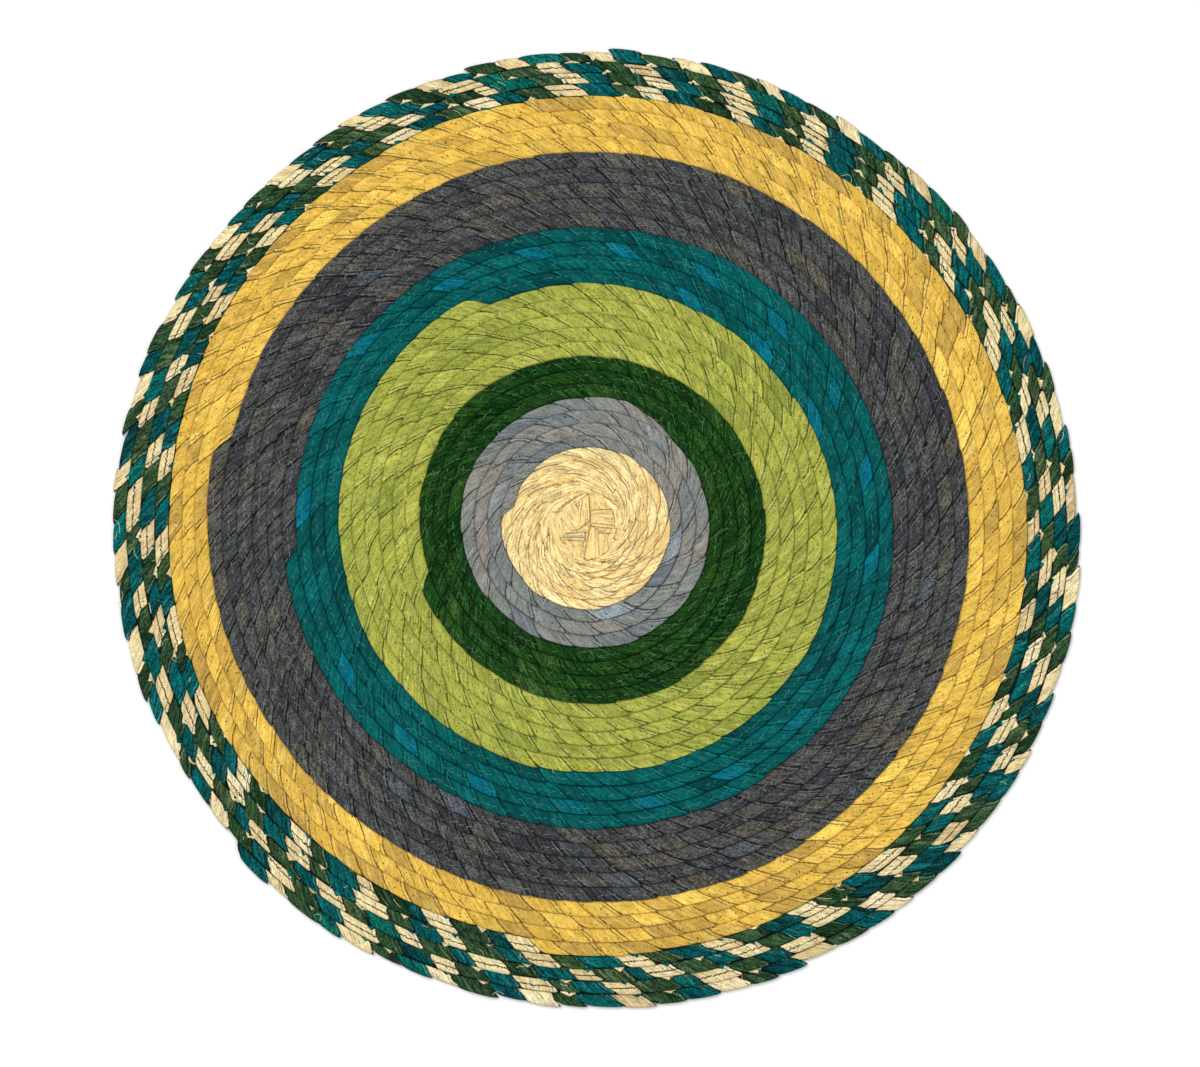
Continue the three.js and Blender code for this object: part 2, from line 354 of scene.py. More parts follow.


# Dyed palm leaf, split, dried and pressed flat: a dull skin with fine ribs along the strip, with
# painted shade where strips meet, along the rows' edges and where the needle has pulled them down,
# and a painted highlight on a raised edge.
def leafMaterial(name, look):
    material, shader, link, add = startMaterial(name + "PressedPalmLeaf")
    shader.inputs["IOR"].default_value = 1.45
    shader.inputs["Specular IOR Level"].default_value = 0.06
    math = "ShaderNodeMath"
    noise = "ShaderNodeTexNoise"
    vector = "ShaderNodeVectorMath"
    between = "ShaderNodeMapRange"

    grain = add("ShaderNodeAttribute", {}, attribute_name="leafGrain").outputs["Vector"]
    tone = add("ShaderNodeAttribute", {}, attribute_name="leafTone").outputs["Fac"]
    edgeVector = add("ShaderNodeAttribute", {}, attribute_name="leafEdge").outputs["Vector"]
    edge = add("ShaderNodeSeparateXYZ", {0: edgeVector}).outputs
    sewnVector = add("ShaderNodeAttribute", {}, attribute_name="leafStitch").outputs["Vector"]
    sewn = add("ShaderNodeSeparateXYZ", {0: sewnVector}).outputs

    # A line where a value passes one place, with a soft edge between two distances from it.
    def lineAt(value, place, inner, outer, strength):
        away = add(math, {0: value, 1: place}, operation="SUBTRACT")
        away = add(math, {0: away}, operation="ABSOLUTE")
        return add(between, {0: away, 1: inner, 2: outer, 3: strength, 4: 0})

    ramp = add("ShaderNodeValToRGB", {0: tone})
    stops = ramp.color_ramp.elements
    while len(stops) < len(look["tones"]):
        stops.new(0.5)
    for i, hexText in enumerate(look["tones"]):
        stops[i].position = i / (len(look["tones"]) - 1)
        stops[i].color = linearColour(hexText)

    fields = []
    for field in ("ribs", "bands", "veins", "slits"):
        stretch, detail, roughness = leafPattern[field]
        coords = add(vector, {0: grain, 1: stretch}, operation="MULTIPLY")
        fields.append(add(noise, {0: coords, "Scale": 1, "Detail": detail, "Roughness": roughness}))
    for field in ("grit", "blotches", "wander"):
        scale, detail, roughness = leafPattern[field]
        fields.append(add(noise, {0: sewnVector, "Scale": scale, "Detail": detail,
                                  "Roughness": roughness}))
    ribs, bands, veins, slits, grit, blotches, wander = fields

    # The leaf's own shades.
    ribShade = add(between, {0: ribs, 1: 0.34, 2: 0.66, 3: 1 - look["ribs"], 4: 1 + look["ribs"]})
    gritShade = add(between, {0: grit, 1: 0.34, 2: 0.66, 3: 1 - look["grit"], 4: 1 + look["grit"]})
    blotchShade = add(between, {0: blotches, 1: 0.35, 2: 0.65, 3: 0.9, 4: 1.1})
    shade = add(math, {0: ribShade, 1: gritShade}, operation="MULTIPLY")
    shade = add(math, {0: shade, 1: blotchShade}, operation="MULTIPLY")
    # Painted shadow lines in the gaps along both edges of a strip, where one strip meets the next.
    wobble = add(between, {0: wander, 1: 0.3, 2: 0.7, 3: -0.14, 4: 0.2})
    fromStart = add(math, {0: edge[0], 1: wobble}, operation="ADD")
    fromEnd = add(math, {0: edge[1], 1: wobble}, operation="ADD")
    startShadowLine = add(between, {0: fromStart, 1: 0.06, 2: 0.24, 3: 0.8, 4: 0})
    gap, plyAt = look.get("gap", 0.4), leafPattern["plyAt"]
    endShadowLine = add(between, {0: fromEnd, 1: gap * 0.4, 2: gap, 3: 1, 4: 0})
    marks = add(math, {0: startShadowLine, 1: endShadowLine}, operation="MAXIMUM")
    # Painted shade along the row: at its inner edge, where the next row's fold presses over it, and more
    # faintly at its own outer fold.
    wavering = add(math, {0: wobble, 1: 0.08, 2: edge[2]}, operation="MULTIPLY_ADD")
    underFoldShadow = add(between, {0: wavering, 1: 0.03, 2: 0.075, 3: look["rowShadow"], 4: 0})
    foldShade = add(between, {0: wavering, 1: 0.93, 2: 1, 3: 0, 4: 0.4 * look["rowShadow"]})
    # The two edges turn in at the fold and leave a notch there, darkened with painted shade.
    nearSide = add(math, {0: fromStart, 1: fromEnd}, operation="MINIMUM")
    nearFold = add(between, {0: edge[2], 1: 0.72, 2: 1.0, 3: -0.3, 4: 0.9})
    notch = add(math, {0: nearFold, 1: nearSide}, operation="SUBTRACT")
    notch = add(between, {0: notch, 1: 0, 2: 0.3, 3: 0, 4: 0.35 + 0.6 * look["rowShadow"]})
    # A second ply shows as a paler strip inside one edge with a thin line behind it. That paler strip is
    # partly a painted highlight where the raised edge catches the light. Veins show as long wavering
    # lines and split ribs as short dark slits.
    plyLine = lineAt(fromStart, plyAt, 0.07, 0.19, 1)
    plyShown = add(between, {0: bands, 1: 0.46, 2: 0.52, 3: 0, 4: 0.9})
    ply = add(math, {0: plyLine, 1: plyShown}, operation="MULTIPLY")
    paleLedgeAndHighlight = add(between, {0: fromStart, 1: plyAt - 0.3, 2: plyAt - 0.1, 3: look["paleLedgeAndHighlight"], 4: 0})
    paleLedgeAndHighlight = add(math, {0: paleLedgeAndHighlight, 1: plyShown}, operation="MULTIPLY")
    bandShade = add(between, {0: bands, 1: 0.52, 2: 0.8, 3: 0, 4: 0.6})
    bandShade = add(math, {0: bandShade, 1: paleLedgeAndHighlight}, operation="MAXIMUM")
    paler = add("ShaderNodeMix", {0: bandShade, 6: ramp, 7: linearColour(look["pale"])},
                data_type="RGBA")
    dyed = add(vector, {0: paler.outputs[2], 3: shade}, operation="SCALE")
    veinLine = lineAt(veins, 0.5, 0.006, 0.024, look["veins"])
    veinShown = add(between, {0: grit, 1: 0.4, 2: 0.55, 3: 1, 4: 0.35})
    veinLine = add(math, {0: veinLine, 1: veinShown}, operation="MULTIPLY")
    slitLine = add(between, {0: slits, 1: 0.65, 2: 0.7, 3: 0, 4: look["slits"]})
    # Specks of dirt, 0.4 mm across, on half of the places for one.
    speckField = add("ShaderNodeTexVoronoi", {0: sewnVector, "Scale": leafPattern["specks"]},
                     voronoi_dimensions="2D")
    speckShown = add("ShaderNodeSeparateXYZ", {0: speckField.outputs["Color"]}).outputs
    speckSize = add(between, {0: speckShown[0], 1: 0.45, 2: 1, 3: 0, 4: 0.16})
    speck = add(math, {0: speckSize, 1: speckField}, operation="SUBTRACT")
    speck = add(between, {0: speck, 1: 0, 2: 0.05, 3: 0, 4: look["specks"]})
    for line in (underFoldShadow, foldShade, notch, ply, veinLine, slitLine, speck):
        marks = add(math, {0: marks, 1: line}, operation="MAXIMUM")

    if look["stitch"] == "dots":
        # Needle holes, each a little off the line, and not all of them open, darkened with painted shade
        # in the holes.
        beat = add(math, {0: sewn[0], 1: leafPattern["needleStep"]}, operation="DIVIDE")
        number = add(math, {0: beat}, operation="FLOOR")
        chance = add("ShaderNodeTexWhiteNoise", {"W": number}, noise_dimensions="1D")
        chances = add("ShaderNodeSeparateXYZ", {0: chance.outputs["Color"]}).outputs
        part = add(math, {0: beat, 1: number}, operation="SUBTRACT")
        shift = add(between, {0: chances[0], 3: -0.75, 4: -0.25})
        aside = add(math, {0: part, 1: shift}, operation="ADD")
        aside = add(math, {0: aside, 1: leafPattern["needleStep"]}, operation="MULTIPLY")
        drift = add(between, {0: chances[1], 3: -0.9, 4: 0.9})
        drift = add(math, {0: drift, 1: sewn[1]}, operation="ADD")
        away = add("ShaderNodeCombineXYZ", {0: aside, 1: drift})
        away = add(vector, {0: away}, operation="LENGTH")
        size = add(between, {0: chances[2], 1: 1 - look["holes"], 2: 1, 3: -0.1, 4: 0.42})
        holeShade = add(math, {0: size, 1: away.outputs["Value"]}, operation="SUBTRACT")
        holeShade = add(between, {0: holeShade, 1: 0, 2: 0.16, 3: 0, 4: 1})
        marks = add(math, {0: marks, 1: holeShade}, operation="MAXIMUM")
    if look["stitch"] == "wave":
        # The machine's groove waves where the thread has sunk in, and its dark line is painted shade in
        # that groove. Here and there a finer seam runs on each side of it.
        swing = add(math, {0: sewn[0], 1: tau / leafPattern["waveStep"]}, operation="MULTIPLY")
        swing = add(math, {0: blotches, 1: 40, 2: swing}, operation="MULTIPLY_ADD")
        sine = add(math, {0: swing}, operation="SINE")
        calm = add(between, {0: bands, 1: 0.4, 2: 0.6, 3: 0.05, 4: 0.3})
        swung = add(math, {0: sine, 1: calm}, operation="MULTIPLY")
        bent = add(math, {0: wobble, 1: 0.5, 2: sewn[1]}, operation="MULTIPLY_ADD")
        path = add(math, {0: swung, 1: bent}, operation="ADD")
        groove = lineAt(path, 0, 0.12, 0.34, 1)
        grooveShown = add(between, {0: grit, 1: 0.36, 2: 0.46, 3: 0.5, 4: 1})
        groove = add(math, {0: groove, 1: grooveShown}, operation="MULTIPLY")
        aside = add(math, {0: wobble, 1: 1.4, 2: sewn[1]}, operation="MULTIPLY_ADD")
        folded = add(math, {0: aside}, operation="ABSOLUTE")
        seam = lineAt(folded, leafPattern["seamAt"], 0.03, 0.2, 0.6)
        seamShown = add(between, {0: blotches, 1: 0.5, 2: 0.56, 3: 0, 4: 0.8})
        seam = add(math, {0: seam, 1: seamShown}, operation="MULTIPLY")
        for line in (groove, seam):
            marks = add(math, {0: marks, 1: line}, operation="MAXIMUM")

    # Real marks and painted shade alike are mixed toward the crease colour.
    inked = add(math, {0: marks, 1: look["lines"]}, operation="MULTIPLY")
    colour = add("ShaderNodeMix", {0: inked, 6: dyed, 7: linearColour(look["creaseAndShade"])},
                 data_type="RGBA")
    link(colour.outputs[2], shader.inputs["Base Color"])
    rough = add(between, {0: ribs, 1: 0.3, 2: 0.7, 3: 0.52, 4: 0.74})
    link(rough.outputs[0], shader.inputs["Roughness"])
    relief = add(math, {0: marks, 1: -0.8, 2: ribs}, operation="MULTIPLY_ADD")
    bump = add("ShaderNodeBump", {"Height": relief, "Strength": 0.8,
                                  "Distance": leafPattern["relief"] * mm})
    link(bump.outputs[0], shader.inputs["Normal"])
    return material


# Fine twisted sewing thread, bleached or dyed near the leaf, with a slight shine: lighter and
# darker every 4 mm or so, and a twist of a quarter of a millimetre.
def threadMaterial(name, hexText):
    material, shader, link, add = startMaterial(name + "TwistedThread")
    shader.inputs["Roughness"].default_value = 0.55
    coords = add("ShaderNodeTexCoord", {})
    patches = add("ShaderNodeTexNoise", {"Vector": coords.outputs["Object"], "Scale": 260, "Detail": 2})
    shade = add("ShaderNodeMapRange", {0: patches, 1: 0.3, 2: 0.7, 3: 0.62, 4: 1.1})
    colour = add("ShaderNodeVectorMath", {0: linearColour(hexText)[:3], 3: shade}, operation="SCALE")
    link(colour.outputs[0], shader.inputs["Base Color"])
    twist = add("ShaderNodeTexNoise", {"Vector": coords.outputs["Object"], "Scale": 4000})
    bump = add("ShaderNodeBump", {"Height": twist, "Strength": 0.4, "Distance": 0.1 * mm})
    link(bump.outputs[0], shader.inputs["Normal"])
    return material


# What each point of a strip tells the leaf material, and how many numbers that takes. leafGrain is
# the place along the strip and across it, and the strip's own number. leafEdge is the distance from
# its two edges, and the place across the row. leafStitch is the place along the row and off the
# line of stitches. All are in millimetres, but the place across the row runs from 0 to 1.
attributeWidths = {"leafGrain": 3, "leafEdge": 3, "leafStitch": 3, "leafTone": 1}


# One piece's mesh, gathered from many small closed forms.
class Gathered:
    def __init__(self):
        self.points = []
        self.faces = []
        self.slots = []
        self.data = {key: [] for key in attributeWidths}
        self.count = 0

    # rings has the shape (forms, columns, ring points, 3). Each ring goes outwards over the top,
    # round the fold and back underneath, and columns run clockwise. ends lists the faces that
    # close the first and the last ring, by the numbers of their points.
    def addRings(self, rings, slots, data, ends=None):
        forms, columns, size = rings.shape[:3]
        ends = np.arange(size)[None] if ends is None else ends
        slots = np.broadcast_to(slots, forms)
        numbers = self.count + np.arange(forms * columns * size).reshape(forms, columns, size)
        onward = np.roll(numbers, -1, axis=2)
        sides = np.stack([numbers[:, :-1], numbers[:, 1:], onward[:, 1:], onward[:, :-1]], axis=-1)
        self.points.append(rings.reshape(-1, 3))
        first, last = numbers[:, 0][:, ends], numbers[:, -1][:, ends[:, ::-1]]
        self.faces += [sides.reshape(-1, 4)]
        self.faces += [closing.reshape(-1, ends.shape[1]) for closing in (first, last)]
        self.slots += [np.repeat(slots, (columns - 1) * size)] + 2 * [np.repeat(slots, len(ends))]
        for key, width in attributeWidths.items():
            values = np.broadcast_to(data[key], (forms, columns, size, width))
            self.data[key].append(values.reshape(-1, width))
        self.count += forms * columns * size

    def makePiece(self, name, materials):
        points = np.concatenate(self.points) * mm
        corners = np.concatenate([f.ravel() for f in self.faces])
        sizes = np.concatenate([np.full(len(f), f.shape[1]) for f in self.faces])
        mesh = bpy.data.meshes.new(name)
        mesh.vertices.add(len(points))
        mesh.vertices.foreach_set("co", points.astype(np.float32).ravel())
        mesh.loops.add(len(corners))
        mesh.loops.foreach_set("vertex_index", corners.astype(np.int32))
        mesh.polygons.add(len(sizes))
        mesh.polygons.foreach_set("loop_start", (np.cumsum(sizes) - sizes).astype(np.int32))
        for material in materials:
            mesh.materials.append(material)
        mesh.polygons.foreach_set("material_index", np.concatenate(self.slots).astype(np.int32))
        mesh.polygons.foreach_set("use_smooth", np.ones(len(sizes), bool))
        mesh.update(calc_edges=True)
        mesh.validate()
        mesh.set_sharp_from_angle(angle=radians(55))
        for key, width in attributeWidths.items():
            attribute = mesh.attributes.new(key, "FLOAT" if width == 1 else "FLOAT_VECTOR", "POINT")
            values = np.concatenate(self.data[key]).astype(np.float32)
            attribute.data.foreach_set("value" if width == 1 else "vector", values.ravel())
        piece = bpy.data.objects.new(name, mesh)
        bpy.context.scene.collection.objects.link(piece)
        return piece


strips = {
    "columns": [0, 0.03, 0.12, 0.28, 0.46, 0.64, 0.8, 0.92, 1],      # from edge to edge
    # Across the row, and the side of the plait's middle: 1 on top, -1 underneath.
    "topRing": [(-0.35, 1), (-0.12, 1), (0.1, 1), (0.28, 1), (0.44, 1), (0.56, 1), (0.68, 1),
                (0.82, 1), (0.94, 0.93), (1.0, 0.45), (1.0, -0.45), (0.94, -0.93), (0.6, -1),
                (0.1, -1), (-0.35, -1)],
    "underColumns": [0, 0.06, 0.35, 0.7, 0.95, 1],
    "underRing": [(-0.94, 0.93), (-0.5, 1), (-0.05, 0.8), (-0.05, -1), (-0.35, -1), (-0.65, -1),
                  (-0.94, -0.93), (-1.0, -0.4), (-1.0, 0.4)],
    "overlap": 0.9,              # of each strip under the next one clockwise
    "edgeDrop": 0.13,            # how far a strip turns down at its two edges
    "tilt": 0.13,                # each strip rises to its anticlockwise edge
    "ripple": 0.035,
    "stitchAt": 0.57,            # the line of stitches, across the row
    "stitchWidth": 0.09,
    "stitchDepth": 0.16,
    "swell": 0.12,               # in the middle of the row
    "reachTilt": 0.4,            # a fold stands out most at its anticlockwise end
    "notch": 0.45,               # how far it turns in at both ends
    "rimReach": 0.5,             # how much more the mat's own rim does
}


# The edges of all strips of one length of plait, measured along the row at the outer fold.
def layOut(plait, rng):
    start = lengthAt(plait["start"] - plait.get("before", 0) / 360)
    end = lengthAt(plait["end"] + plait.get("after", 0) / 360)
    along = np.linspace(start, end, 2000)
    cell = np.interp(along, np.linspace(start, end, len(plait["cell"])), plait["cell"])
    passed = np.concatenate([[0], np.cumsum(np.diff(along) / cell[1:])])
    count = int(round(passed[-1]))
    plait["edges"] = np.interp(np.arange(count + 1) * passed[-1] / count, passed, along)
    jitter = plait.get("jitter", 0.065) * np.clip(rng.standard_normal(count - 1), -2.2, 2.2)
    plait["edges"][1:-1] += jitter * np.mean(cell)
    # Each strip leans, bows and rises a little in its own way.
    lean = 1 + 0.15 * rng.standard_normal(count + 1)
    lean[0] = lean[-1] = 1
    plait["lean"] = np.clip(lean, 0.7, 1.35) / tan(radians(plait["leafAngle"]))
    plait["bow"] = 0.4 * rng.standard_normal(count + 1)
    plait["bow"][0] = plait["bow"][-1] = 0
    plait["lift"] = 0.06 * rng.standard_normal(count)
    plait["reach"] = 0.14 * plait.get("puff", 1) * rng.standard_normal(count)
    plait["seed"] = rng.random(count) * 50
    plait["phase"] = rng.random(count + 1) * tau
    return count


# Where the light grey length runs out, it thins to a point over the start of the next colour.
def foldAt(plait, along):
    if "taper" not in plait:
        return 1 + 0 * along, 0
    start = lengthAt(plait["end"] + (plait["after"] - plait["taper"]) / 360)
    end = lengthAt(plait["end"] + plait["after"] / 360)
    narrowed = 1 - 0.95 * np.clip((along - start) / (end + 2 - start), 0, 1)
    return narrowed, 0.4 * smooth(start - 2, start + 3, along)


# And the next colour starts a little lower there.
def sinkAt(plait, along):
    if "before" not in plait:
        return 0
    return 0.5 * (1 - smooth(plait["edges"][0] + 14, plait["edges"][0] + 32, along))


# The relief of a strip's face, from its anticlockwise edge (0) to its clockwise edge (1).
def relief(plait, cell, part, across, along):
    side = np.abs(2 * part - 1)
    groove = np.exp(-((across - strips["stitchAt"]) / strips["stitchWidth"]) ** 2) * (1 - onRim(along))
    bulge = strips["swell"] * np.sin(np.pi * np.clip(across, 0, 1))
    seed = plait["seed"][cell]
    ripple = strips["ripple"] * np.sin(9 * part + seed) * np.sin(5 * across + 2 * seed)
    shape = strips["tilt"] * (1 - 2 * part) - strips["edgeDrop"] * side ** 8 + ripple
    return plait["lift"][cell] + plait.get("puff", 1) * shape + bulge - strips["stitchDepth"] * groove


# How far a strip has gone along the row, from its fold at the outer edge to any place across.
def sway(plait, index, part, across, width):
    lean = plait["lean"][index] * (1 - part) + plait["lean"][index + 1] * part
    bow = plait["bow"][index] * (1 - part) + plait["bow"][index + 1] * part
    turned = (np.sin(8 * across + plait["phase"][index]) * (1 - part)
              + np.sin(8 * across + plait["phase"][index + 1]) * part)
    return (lean * width * (1 - across) + bow * np.sin(np.pi * np.clip(across, -1, 1))
            + plait.get("wiggle", 0.1) * turned)


# The height of the top face over any place of the row, above the plait's middle.
def topLift(plait, along, across):
    width = rowWidth(along)
    lean = plait["lean"].mean()
    fold = along - lean * width * (1 - across)
    count = len(plait["edges"]) - 1
    index = np.clip(np.searchsorted(plait["edges"], fold) - 1, 0, count - 1)
    for repeat in range(3):
        size = plait["edges"][index + 1] - plait["edges"][index]
        part = np.clip((fold - plait["edges"][index]) / size, 0, 1)
        fold = along - sway(plait, index, part, across, width)
        index = np.clip(np.searchsorted(plait["edges"], fold) - 1, 0, count - 1)
    size = plait["edges"][index + 1] - plait["edges"][index] + strips["overlap"]
    part = np.clip((fold - plait["edges"][index]) / size, 0, 1)
    return coil["layer"] / 2 + relief(plait, index, part, across, along)


# Triangles that close a strip's cut end: a narrow upright band between its upper and lower line,
# which follows the bend of the edge.
def endBand(ring):
    upper = [i for i in np.argsort(ring[:, 0], kind="stable") if ring[i, 1] > 0]
    lower = [i for i in np.argsort(ring[:, 0], kind="stable") if ring[i, 1] < 0]
    band = []
    while len(upper) > 1 or len(lower) > 1:
        rise = len(lower) == 1 or (len(upper) > 1 and ring[upper[1], 0] <= ring[lower[1], 0])
        line = upper if rise else lower
        band.append(sorted([upper[0], lower[0], line[1]]))
        line.pop(0)
    return np.array(band)


# All strips of one length: those on top, which fold round the outer edge, and a layer underneath.
def addStrips(gathered, plait, topSlots, underSlots, tones):
    count = len(plait["edges"]) - 1
    cells = np.arange(count)[:, None, None]
    angle = radians(plait["leafAngle"])
    half = coil["layer"] / 2
    for ringName, columnName in (("topRing", "columns"), ("underRing", "underColumns")):
        onTop = ringName == "topRing"
        ring = np.array(strips[ringName])
        across, side = ring[None, None, :, 0], ring[None, None, :, 1]
        part = np.array(strips[columnName])[None, :, None]
        size = np.diff(plait["edges"])[:, None, None] + strips["overlap"]
        fold = plait["edges"][:-1, None, None] + part * size
        width = rowWidth(fold)
        along = fold + sway(plait, cells, part, across, width)
        face = relief(plait, cells, part, across, along)
        if onTop:
            taper, raised = foldAt(plait, along)
            lift = half * side + face * np.clip(side, 0, 1) + raised - sinkAt(plait, along)
            nearFold = smooth(0.55, 1, across)
            standing = strips["reachTilt"] * (0.45 - part) + plait["reach"][:, None, None]
            standing = standing - strips["notch"] * np.abs(2 * part - 1) ** 5
            push = nearFold * standing * (1 + strips["rimReach"] * onRim(along))
            place = across * np.where(across > 0, taper, 1)
        else:
            lift = half * side + 0.5 * face * np.clip(side, -1, 0)
            push = smooth(-0.6, -1, across) * (0.3 * np.abs(2 * part - 1) ** 5 - 0.4 * (0.5 - part))
            place = across + 0 * along
        rings = placeOnCoil(along, place, lift, push)

        flat = 0 * along
        seed = plait["seed"][:, None, None] + flat
        acrossLeaf = part * size * np.sin(angle) + flat
        alongLeaf = (1 - across) * width / np.sin(angle) + flat
        turned = acrossLeaf + 0.1 * np.sin(7 * seed) * alongLeaf
        fromEnd = ((1 - part) * size - strips["overlap"]) * np.sin(angle) + flat
        offStitch = (across - strips["stitchAt"]) * width + 6 * onRim(along) + (0 if onTop else 9)
        data = {
            "leafGrain": np.stack([alongLeaf, turned, seed], axis=-1),
            "leafEdge": np.stack([acrossLeaf, fromEnd, (across if onTop else -across) + flat], axis=-1),
            "leafStitch": np.stack([along, offStitch, np.sin(seed) + flat], axis=-1),
            "leafTone": (tones if onTop else np.roll(tones, 1))[:, None, None, None],
        }
        gathered.addRings(rings, topSlots if onTop else underSlots, data, endBand(ring))


peeks = {
    "columns": [0, 0.16, 0.36, 0.6, 0.82, 1],
    # How far out to its tip, and how high on top (1) or sunk in.
    "ring": [(0, 1), (0.4, 1), (0.75, 1), (0.95, 0.8), (1, 0.3), (0.9, -0.2), (0, -0.2)],
    "span": (3.8, 6.2),          # along the row
    "tall": (0.22, 0.44),        # across it, as a share of its width
    "summit": 0.36,
    "proud": 0.14,
}


# Small corners of the strips that lean the other way show between two strips at the inner edge.
def addPeeks(gathered, plait, slots, rng):
    count = len(plait["edges"]) - 1
    chosen = 1 + np.flatnonzero(rng.random(count - 2) < plait["peeks"])
    number = len(chosen)
    column = np.array(peeks["columns"])[None, :, None]
    reachPart, side = np.array(peeks["ring"]).T[:, None, None]
    base = plait["edges"][chosen][:, None, None] + plait["lean"][chosen][:, None, None] * rowWidth(
        plait["edges"][chosen])[:, None, None]
    span = rng.uniform(*peeks["span"], number)[:, None, None]
    tall = rng.uniform(*peeks["tall"], number)[:, None, None]
    along = base + (column - 0.3) * span
    summit = peeks["summit"]
    tip = tall * (1 - np.abs(column - summit) / np.where(column < summit, 0.4, 0.68))
    across = -0.3 + (tip + 0.3) * reachPart
    along = along + 0 * across
    cover = topLift(plait, along, across) + peeks["proud"]
    lift = np.where(side > 0, cover * side, 0.1)
    rings = placeOnCoil(along, across, lift)
    flat = 0 * along
    seed = rng.random(number)[:, None, None] * 40 + flat
    offset = across * 5.5
    data = {
        "leafGrain": np.stack([0.64 * along + 0.77 * offset, 0.77 * along - 0.64 * offset, seed],
                              axis=-1),
        "leafEdge": np.stack([3 + flat, (tip - across) * 5 + 0.2, 0.5 + flat], axis=-1),
        "leafStitch": np.stack([along, 9 + offset, seed], axis=-1),
        "leafTone": rng.uniform(0.2, 0.9, number)[:, None, None, None],
    }
    gathered.addRings(rings, slots[chosen] if len(slots) > 1 else 0, data)


# Round threads and fibres from their middle lines, with the shape (threads, points, 3).
def addTubes(gathered, middles, radius, slot, sides=4):
    heading = np.gradient(middles, axis=1)
    heading /= np.linalg.norm(heading, axis=-1, keepdims=True)
    across = np.cross([0, 0, 1], heading)
    across /= np.linalg.norm(across, axis=-1, keepdims=True)
    around = (np.pi - np.arange(sides) * tau / sides)[:, None]
    rings = middles[:, :, None] + radius * (across[:, :, None] * np.cos(around)
                                            + np.array([0, 0, 1]) * np.sin(around))
    plain = {"leafGrain": [9, 9, 9], "leafEdge": [9, 9, 0.5], "leafStitch": [0, 9, 0], "leafTone": [0.5]}
    gathered.addRings(rings, slot, {key: np.array(value) for key, value in plain.items()})


stitches = {
    "spacing": 2.9,
    "reach": 1.15,               # half of what shows of one stitch,
    "lengths": (0.55, 1.15),     # times this
    "radius": 0.14,              # real thread is thinner: this is as thin as the render can show
    "slant": 0.04,               # across the row, from its middle to its end
    "shown": 0.65,               # the others have sunk out of sight
    # Along the stitch, and above the leaf: its ends go in.
    "bend": [(-1, -0.16), (-0.65, 0.08), (0, 0.14), (0.65, 0.08), (1, -0.16)],
}


def addStitches(gathered, plait, slot, rng):
    start, end = plait["edges"][0] + 3, min(plait["edges"][-1] - 3, lengthAt(wound - 1.02))
    number = int((end - start) / stitches["spacing"])
    middle = start + (np.arange(number) + 0.5 + 0.08 * rng.standard_normal(number)) * stitches["spacing"]
    bend = np.array(stitches["bend"])
    reach = stitches["reach"] * rng.uniform(*stitches["lengths"], number)
    along = middle[:, None] + bend[None, :, 0] * reach[:, None]
    wander = 0.04 * np.sin(middle / 23) + 0.025 * rng.standard_normal(number)
    slant = stitches["slant"] * (1 + 0.5 * rng.standard_normal(number))
    across = strips["stitchAt"] + wander[:, None] + slant[:, None] * bend[None, :, 0]
    lift = topLift(plait, along, across) + bend[None, :, 1]
    shown = rng.random(number) < stitches["shown"]
    addTubes(gathered, placeOnCoil(along, across, lift)[shown], stitches["radius"], slot)


fibres = {
    "length": (1.5, 6.5),
    "radius": 0.11,
    "rise": (0.02, 0.25),        # of the middle of its arch
    "wayward": 0.5,              # how far off the leaf's own angle, in radians
}


# Split ends and hairs of leaf that lie loose on top.
def addFibres(gathered, plait, slot, rng):
    number = plait["fibres"]
    middle = rng.uniform(plait["edges"][1], plait["edges"][-2], number)[:, None]
    centre = rng.uniform(0.15, 0.9, number)[:, None]
    length = rng.uniform(*fibres["length"], number)[:, None]
    direction = rng.normal(radians(plait["leafAngle"]), fibres["wayward"], number)[:, None]
    step = np.linspace(-0.5, 0.5, 6)[None, :]
    curl = rng.normal(0, 1, number)[:, None] * step ** 2
    along = middle + length * (step * np.cos(direction) + curl * np.sin(direction))
    across = centre - (length * (step * np.sin(direction) - curl * np.cos(direction))) / rowWidth(middle)
    rise = rng.uniform(*fibres["rise"], number)[:, None]
    lift = topLift(plait, along, np.clip(across, 0, 1)) + rise * (1 - 4 * step ** 2) - 0.02
    addTubes(gathered, placeOnCoil(along, across, lift), fibres["radius"], slot, sides=3)


